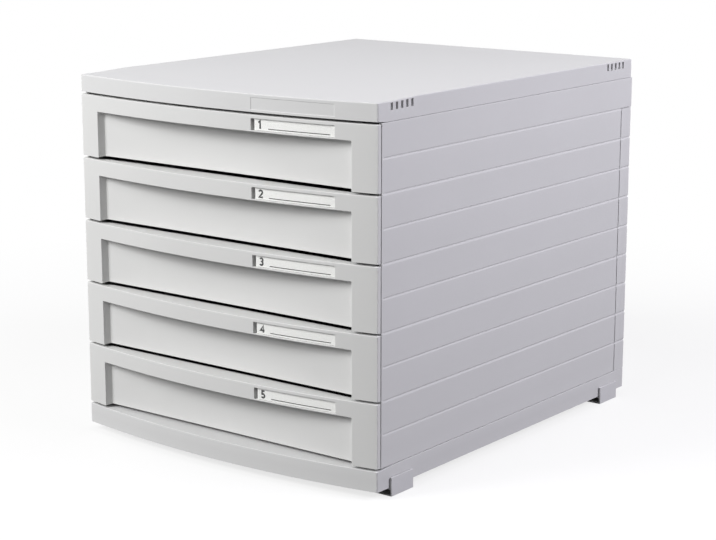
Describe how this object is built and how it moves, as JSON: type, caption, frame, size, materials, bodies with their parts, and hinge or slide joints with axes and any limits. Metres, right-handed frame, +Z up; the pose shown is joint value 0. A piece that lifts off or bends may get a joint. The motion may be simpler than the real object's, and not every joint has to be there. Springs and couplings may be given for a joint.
{
  "type": "desktop file drawer",
  "caption": "Desktop filing box with bowed drawers that slide out of a grooved plastic case on four clip feet.",
  "frame": {"origin": "on the surface that the feet stand on, under the middle of the outline seen from above", "axes": "+Z up, the drawers face and open towards -Y, +X to the right of someone who faces the drawers"},
  "size_m": [0.289, 0.3594, 0.284],
  "materials": {
    "case_plastic": "light grey polystyrene, fine moulded grain, satin",
    "front_plastic": "light grey polystyrene, smooth satin",
    "tray_plastic": "light grey polystyrene, satin",
    "foot_plastic": "light grey polystyrene, smooth satin",
    "card_paper": "white uncoated card",
    "clear_plastic": "clear glossy strip"
  },
  "bodies": {
    "housing": {"top_cover": "case_plastic", "base": "case_plastic", "back_panel": "case_plastic", "left_side_panel": "case_plastic", "right_side_panel": "case_plastic", "front_left_foot": "foot_plastic", "front_right_foot": "foot_plastic", "rear_left_foot": "foot_plastic", "rear_right_foot": "foot_plastic"},
    "drawer_1": {"drawer_1_tray": "tray_plastic", "drawer_1_front": "front_plastic", "drawer_1_label_card": "card_paper", "drawer_1_label_window": "clear_plastic"},
    "drawer_2": {"drawer_2_tray": "tray_plastic", "drawer_2_front": "front_plastic", "drawer_2_label_card": "card_paper", "drawer_2_label_window": "clear_plastic"},
    "drawer_3": {"drawer_3_tray": "tray_plastic", "drawer_3_front": "front_plastic", "drawer_3_label_card": "card_paper", "drawer_3_label_window": "clear_plastic"},
    "drawer_4": {"drawer_4_tray": "tray_plastic", "drawer_4_front": "front_plastic", "drawer_4_label_card": "card_paper", "drawer_4_label_window": "clear_plastic"},
    "drawer_5": {"drawer_5_tray": "tray_plastic", "drawer_5_front": "front_plastic", "drawer_5_label_card": "card_paper", "drawer_5_label_window": "clear_plastic"}
  },
  "joints": [
    {"name": "drawer_1_slide", "type": "slide", "parent": "housing", "child": "drawer_1", "axis": [0, -1, 0], "range_m": [0, 0.262]},
    {"name": "drawer_2_slide", "type": "slide", "parent": "housing", "child": "drawer_2", "axis": [0, -1, 0], "range_m": [0, 0.262]},
    {"name": "drawer_3_slide", "type": "slide", "parent": "housing", "child": "drawer_3", "axis": [0, -1, 0], "range_m": [0, 0.262]},
    {"name": "drawer_4_slide", "type": "slide", "parent": "housing", "child": "drawer_4", "axis": [0, -1, 0], "range_m": [0, 0.262]},
    {"name": "drawer_5_slide", "type": "slide", "parent": "housing", "child": "drawer_5", "axis": [0, -1, 0], "range_m": [0, 0.262]}
  ]
}
